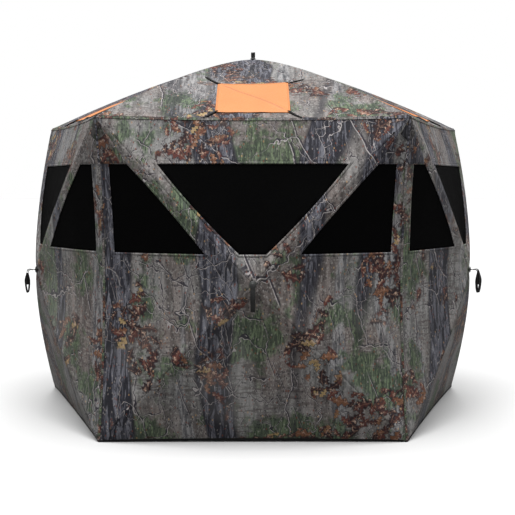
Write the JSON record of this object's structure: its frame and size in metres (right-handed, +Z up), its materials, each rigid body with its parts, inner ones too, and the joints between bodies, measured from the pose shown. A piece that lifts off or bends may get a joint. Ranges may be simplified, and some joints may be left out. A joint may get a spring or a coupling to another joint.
{
  "type": "pop-up ground blind",
  "caption": "Five-sided camouflage ground blind with bulging walls and roof held by hubs and bowed rods, mesh windows and pull loops.",
  "frame": {"origin": "on the ground, under the middle of the whole blind's bounding box (6 mm from the five-sided base's own centre, towards the rear corner)", "axes": "+Z up; the front wall faces -Y; +X to the right when the front wall is looked at; the base's rear corner points to +Y"},
  "size_m": [2.5704, 2.683, 2.0951],
  "materials": {
    "camo_cloth": "woven polyester with a printed woodland pattern",
    "shoot_through_mesh": "fine black knitted mesh",
    "safety_cloth": "smooth blaze orange cloth",
    "fibreglass_rod": "black pultruded glass fibre",
    "hub_plastic": "moulded nylon",
    "zip_metal": "black coated slider",
    "black_webbing": "ribbed polypropylene webbing"
  },
  "bodies": {
    "root": {"wall_panel_front": "camo_cloth", "window_mesh_front": "shoot_through_mesh", "corner_foot_front": "black_webbing", "wall_panel_right": "camo_cloth", "window_mesh_right": "shoot_through_mesh", "corner_foot_right": "black_webbing", "wall_panel_rear_right": "camo_cloth", "window_mesh_rear_right": "shoot_through_mesh", "corner_foot_rear_right": "black_webbing", "wall_panel_rear_left": "camo_cloth", "window_mesh_rear_left": "shoot_through_mesh", "corner_foot_rear_left": "black_webbing", "wall_panel_left": "camo_cloth", "window_mesh_left": "shoot_through_mesh", "corner_foot_left": "black_webbing", "roof_panel": "camo_cloth"},
    "front_hub": {"hub_front": "hub_plastic"},
    "front_rod_upper_left": {"rod_front_upper_left": "fibreglass_rod"},
    "front_rod_upper_right": {"rod_front_upper_right": "fibreglass_rod"},
    "front_rod_lower_right": {"rod_front_lower_right": "fibreglass_rod"},
    "front_rod_lower_left": {"rod_front_lower_left": "fibreglass_rod"},
    "front_pull_loop": {"pull_loop_front": "black_webbing"},
    "right_hub": {"hub_right": "hub_plastic"},
    "right_rod_upper_left": {"rod_right_upper_left": "fibreglass_rod"},
    "right_rod_upper_right": {"rod_right_upper_right": "fibreglass_rod"},
    "right_rod_lower_right": {"rod_right_lower_right": "fibreglass_rod"},
    "right_rod_lower_left": {"rod_right_lower_left": "fibreglass_rod"},
    "right_pull_loop": {"pull_loop_right": "black_webbing"},
    "rear_right_hub": {"hub_rear_right": "hub_plastic"},
    "rear_right_rod_upper_left": {"rod_rear_right_upper_left": "fibreglass_rod"},
    "rear_right_rod_upper_right": {"rod_rear_right_upper_right": "fibreglass_rod"},
    "rear_right_rod_lower_right": {"rod_rear_right_lower_right": "fibreglass_rod"},
    "rear_right_rod_lower_left": {"rod_rear_right_lower_left": "fibreglass_rod"},
    "rear_right_pull_loop": {"pull_loop_rear_right": "black_webbing"},
    "rear_left_hub": {"hub_rear_left": "hub_plastic"},
    "rear_left_rod_upper_left": {"rod_rear_left_upper_left": "fibreglass_rod"},
    "rear_left_rod_upper_right": {"rod_rear_left_upper_right": "fibreglass_rod"},
    "rear_left_rod_lower_right": {"rod_rear_left_lower_right": "fibreglass_rod"},
    "rear_left_rod_lower_left": {"rod_rear_left_lower_left": "fibreglass_rod"},
    "rear_left_pull_loop": {"pull_loop_rear_left": "black_webbing"},
    "left_hub": {"hub_left": "hub_plastic"},
    "left_rod_upper_left": {"rod_left_upper_left": "fibreglass_rod"},
    "left_rod_upper_right": {"rod_left_upper_right": "fibreglass_rod"},
    "left_rod_lower_right": {"rod_left_lower_right": "fibreglass_rod"},
    "left_rod_lower_left": {"rod_left_lower_left": "fibreglass_rod"},
    "left_pull_loop": {"pull_loop_left": "black_webbing"},
    "roof_hub": {"hub_roof": "hub_plastic"},
    "roof_rod_front": {"rod_roof_front": "fibreglass_rod", "roof_flag_front": "safety_cloth"},
    "roof_rod_right": {"rod_roof_right": "fibreglass_rod", "roof_flag_right": "safety_cloth"},
    "roof_rod_rear_right": {"rod_roof_rear_right": "fibreglass_rod", "roof_flag_rear_right": "safety_cloth"},
    "roof_rod_rear_left": {"rod_roof_rear_left": "fibreglass_rod", "roof_flag_rear_left": "safety_cloth"},
    "roof_rod_left": {"rod_roof_left": "fibreglass_rod", "roof_flag_left": "safety_cloth"},
    "roof_pull_loop": {"pull_loop_roof": "black_webbing"},
    "door": {"door_panel": "camo_cloth"},
    "slider": {"zip_slider": "zip_metal"}
  },
  "joints": [
    {"name": "front_hub_push", "type": "slide", "parent": "root", "child": "front_hub", "axis": [0, 1, 0], "range_m": [0, 0.408], "deforming": ["wall_panel_front", "window_mesh_front"]},
    {"name": "front_upper_left_swing", "type": "hinge", "parent": "root", "child": "front_rod_upper_left", "pos_m": [0, -1.06149, 1.65], "axis": [1, 0, 0], "range_deg": [0, 28.81]},
    {"name": "front_upper_right_swing", "type": "hinge", "parent": "root", "child": "front_rod_upper_right", "pos_m": [0.785, -1.06149, 0.825], "axis": [0, 0, -1], "range_deg": [0, 30.22]},
    {"name": "front_lower_right_swing", "type": "hinge", "parent": "root", "child": "front_rod_lower_right", "pos_m": [0, -1.06149, 0], "axis": [-1, 0, 0], "range_deg": [0, 28.81]},
    {"name": "front_lower_left_swing", "type": "hinge", "parent": "root", "child": "front_rod_lower_left", "pos_m": [-0.785, -1.06149, 0.825], "axis": [0, 0, 1], "range_deg": [0, 30.22]},
    {"name": "front_loop_swing", "type": "hinge", "parent": "front_hub", "child": "front_pull_loop", "pos_m": [0, -1.30349, 0.825], "axis": [-1, 0, 0], "range_deg": [0, 85]},
    {"name": "right_hub_push", "type": "slide", "parent": "root", "child": "right_hub", "axis": [-0.9511, 0.309, 0], "range_m": [0, 0.408], "deforming": ["wall_panel_right", "window_mesh_right"]},
    {"name": "right_upper_left_swing", "type": "hinge", "parent": "root", "child": "right_rod_upper_left", "pos_m": [1.01521, -0.32389, 1.65], "axis": [0.309, 0.9511, 0], "range_deg": [0, 28.81]},
    {"name": "right_upper_right_swing", "type": "hinge", "parent": "root", "child": "right_rod_upper_right", "pos_m": [1.25779, 0.42268, 0.825], "axis": [0, 0, -1], "range_deg": [0, 30.22]},
    {"name": "right_lower_right_swing", "type": "hinge", "parent": "root", "child": "right_rod_lower_right", "pos_m": [1.01521, -0.32389, 0], "axis": [-0.309, -0.9511, 0], "range_deg": [0, 28.81]},
    {"name": "right_lower_left_swing", "type": "hinge", "parent": "root", "child": "right_rod_lower_left", "pos_m": [0.77264, -1.07047, 0.825], "axis": [0, 0, 1], "range_deg": [0, 30.22]},
    {"name": "right_loop_swing", "type": "hinge", "parent": "right_hub", "child": "right_pull_loop", "pos_m": [1.24537, -0.39868, 0.825], "axis": [-0.309, -0.9511, 0], "range_deg": [0, 85]},
    {"name": "rear_right_hub_push", "type": "slide", "parent": "root", "child": "rear_right_hub", "axis": [-0.5878, -0.809, 0], "range_m": [0, 0.408], "deforming": ["wall_panel_rear_right", "window_mesh_rear_right"]},
    {"name": "rear_right_upper_left_swing", "type": "hinge", "parent": "root", "child": "rear_right_rod_upper_left", "pos_m": [0.62744, 0.86956, 1.65], "axis": [-0.809, 0.5878, 0], "range_deg": [0, 28.81]},
    {"name": "rear_right_upper_right_swing", "type": "hinge", "parent": "root", "child": "rear_right_rod_upper_right", "pos_m": [-0.00764, 1.33097, 0.825], "axis": [0, 0, -1], "range_deg": [0, 30.22]},
    {"name": "rear_right_lower_right_swing", "type": "hinge", "parent": "root", "child": "rear_right_rod_lower_right", "pos_m": [0.62744, 0.86956, 0], "axis": [0.809, -0.5878, 0], "range_deg": [0, 28.81]},
    {"name": "rear_right_lower_left_swing", "type": "hinge", "parent": "root", "child": "rear_right_rod_lower_left", "pos_m": [1.26252, 0.40815, 0.825], "axis": [0, 0, 1], "range_deg": [0, 30.22]},
    {"name": "rear_right_loop_swing", "type": "hinge", "parent": "rear_right_hub", "child": "rear_right_pull_loop", "pos_m": [0.76968, 1.06534, 0.825], "axis": [0.809, -0.5878, 0], "range_deg": [0, 85]},
    {"name": "rear_left_hub_push", "type": "slide", "parent": "root", "child": "rear_left_hub", "axis": [0.5878, -0.809, 0], "range_m": [0, 0.408], "deforming": ["wall_panel_rear_left", "window_mesh_rear_left"]},
    {"name": "rear_left_upper_left_swing", "type": "hinge", "parent": "root", "child": "rear_left_rod_upper_left", "pos_m": [-0.62744, 0.86956, 1.65], "axis": [-0.809, -0.5878, 0], "range_deg": [0, 28.81]},
    {"name": "rear_left_upper_right_swing", "type": "hinge", "parent": "root", "child": "rear_left_rod_upper_right", "pos_m": [-1.26252, 0.40815, 0.825], "axis": [0, 0, -1], "range_deg": [0, 30.22]},
    {"name": "rear_left_lower_right_swing", "type": "hinge", "parent": "root", "child": "rear_left_rod_lower_right", "pos_m": [-0.62744, 0.86956, 0], "axis": [0.809, 0.5878, 0], "range_deg": [0, 28.81]},
    {"name": "rear_left_lower_left_swing", "type": "hinge", "parent": "root", "child": "rear_left_rod_lower_left", "pos_m": [0.00764, 1.33097, 0.825], "axis": [0, 0, 1], "range_deg": [0, 30.22]},
    {"name": "rear_left_loop_swing", "type": "hinge", "parent": "rear_left_hub", "child": "rear_left_pull_loop", "pos_m": [-0.76968, 1.06534, 0.825], "axis": [0.809, 0.5878, 0], "range_deg": [0, 85]},
    {"name": "left_hub_push", "type": "slide", "parent": "root", "child": "left_hub", "axis": [0.9511, 0.309, 0], "range_m": [0, 0.408], "deforming": ["wall_panel_left", "window_mesh_left"]},
    {"name": "left_upper_left_swing", "type": "hinge", "parent": "root", "child": "left_rod_upper_left", "pos_m": [-1.01521, -0.32389, 1.65], "axis": [0.309, -0.9511, 0], "range_deg": [0, 28.81]},
    {"name": "left_upper_right_swing", "type": "hinge", "parent": "root", "child": "left_rod_upper_right", "pos_m": [-0.77264, -1.07047, 0.825], "axis": [0, 0, -1], "range_deg": [0, 30.22]},
    {"name": "left_lower_right_swing", "type": "hinge", "parent": "root", "child": "left_rod_lower_right", "pos_m": [-1.01521, -0.32389, 0], "axis": [-0.309, 0.9511, 0], "range_deg": [0, 28.81]},
    {"name": "left_lower_left_swing", "type": "hinge", "parent": "root", "child": "left_rod_lower_left", "pos_m": [-1.25779, 0.42268, 0.825], "axis": [0, 0, 1], "range_deg": [0, 30.22]},
    {"name": "left_loop_swing", "type": "hinge", "parent": "left_hub", "child": "left_pull_loop", "pos_m": [-1.24537, -0.39868, 0.825], "axis": [-0.309, 0.9511, 0], "range_deg": [0, 85]},
    {"name": "roof_hub_push", "type": "slide", "parent": "root", "child": "roof_hub", "axis": [0, 0, -1], "range_m": [0, 0.78], "deforming": ["roof_panel"]},
    {"name": "roof_front_swing", "type": "hinge", "parent": "root", "child": "roof_rod_front", "pos_m": [0, -1.07449, 1.637], "axis": [-1, 0, 0], "range_deg": [0, 41.53]},
    {"name": "roof_right_swing", "type": "hinge", "parent": "root", "child": "roof_rod_right", "pos_m": [1.02758, -0.32791, 1.637], "axis": [-0.309, -0.9511, 0], "range_deg": [0, 41.53]},
    {"name": "roof_rear_right_swing", "type": "hinge", "parent": "root", "child": "roof_rod_rear_right", "pos_m": [0.63508, 0.88008, 1.637], "axis": [0.809, -0.5878, 0], "range_deg": [0, 41.53]},
    {"name": "roof_rear_left_swing", "type": "hinge", "parent": "root", "child": "roof_rod_rear_left", "pos_m": [-0.63508, 0.88008, 1.637], "axis": [0.809, 0.5878, 0], "range_deg": [0, 41.53]},
    {"name": "roof_left_swing", "type": "hinge", "parent": "root", "child": "roof_rod_left", "pos_m": [-1.02758, -0.32791, 1.637], "axis": [-0.309, 0.9511, 0], "range_deg": [0, 41.53]},
    {"name": "roof_loop_swing", "type": "hinge", "parent": "roof_hub", "child": "roof_pull_loop", "pos_m": [0, 0.00597, 2.065], "axis": [1, 0, 0], "range_deg": [0, 105]},
    {"name": "door_swing", "type": "hinge", "parent": "rear_right_rod_upper_right", "child": "door", "pos_m": [0.05971, 1.3216, 0.825], "axis": [0, 0, 1], "range_deg": [0, 110]},
    {"name": "zip_slide", "type": "slide", "parent": "rear_right_rod_upper_right", "child": "slider", "axis": [0.6671, -0.2292, 0.7088], "range_m": [0, 0.466]}
  ],
  "couplings": [
    {"joint": "front_upper_left_swing", "follows": "front_hub_push", "rad_per_m": 1.2305},
    {"joint": "front_upper_right_swing", "follows": "front_hub_push", "rad_per_m": 1.2905},
    {"joint": "front_lower_right_swing", "follows": "front_hub_push", "rad_per_m": 1.2305},
    {"joint": "front_lower_left_swing", "follows": "front_hub_push", "rad_per_m": 1.2905},
    {"joint": "right_upper_left_swing", "follows": "right_hub_push", "rad_per_m": 1.2305},
    {"joint": "right_upper_right_swing", "follows": "right_hub_push", "rad_per_m": 1.2905},
    {"joint": "right_lower_right_swing", "follows": "right_hub_push", "rad_per_m": 1.2305},
    {"joint": "right_lower_left_swing", "follows": "right_hub_push", "rad_per_m": 1.2905},
    {"joint": "rear_right_upper_left_swing", "follows": "rear_right_hub_push", "rad_per_m": 1.2305},
    {"joint": "rear_right_upper_right_swing", "follows": "rear_right_hub_push", "rad_per_m": 1.2905},
    {"joint": "rear_right_lower_right_swing", "follows": "rear_right_hub_push", "rad_per_m": 1.2305},
    {"joint": "rear_right_lower_left_swing", "follows": "rear_right_hub_push", "rad_per_m": 1.2905},
    {"joint": "rear_left_upper_left_swing", "follows": "rear_left_hub_push", "rad_per_m": 1.2305},
    {"joint": "rear_left_upper_right_swing", "follows": "rear_left_hub_push", "rad_per_m": 1.2905},
    {"joint": "rear_left_lower_right_swing", "follows": "rear_left_hub_push", "rad_per_m": 1.2305},
    {"joint": "rear_left_lower_left_swing", "follows": "rear_left_hub_push", "rad_per_m": 1.2905},
    {"joint": "left_upper_left_swing", "follows": "left_hub_push", "rad_per_m": 1.2305},
    {"joint": "left_upper_right_swing", "follows": "left_hub_push", "rad_per_m": 1.2905},
    {"joint": "left_lower_right_swing", "follows": "left_hub_push", "rad_per_m": 1.2305},
    {"joint": "left_lower_left_swing", "follows": "left_hub_push", "rad_per_m": 1.2905},
    {"joint": "roof_front_swing", "follows": "roof_hub_push", "rad_per_m": 0.9282},
    {"joint": "roof_right_swing", "follows": "roof_hub_push", "rad_per_m": 0.9282},
    {"joint": "roof_rear_right_swing", "follows": "roof_hub_push", "rad_per_m": 0.9282},
    {"joint": "roof_rear_left_swing", "follows": "roof_hub_push", "rad_per_m": 0.9282},
    {"joint": "roof_left_swing", "follows": "roof_hub_push", "rad_per_m": 0.9282}
  ]
}
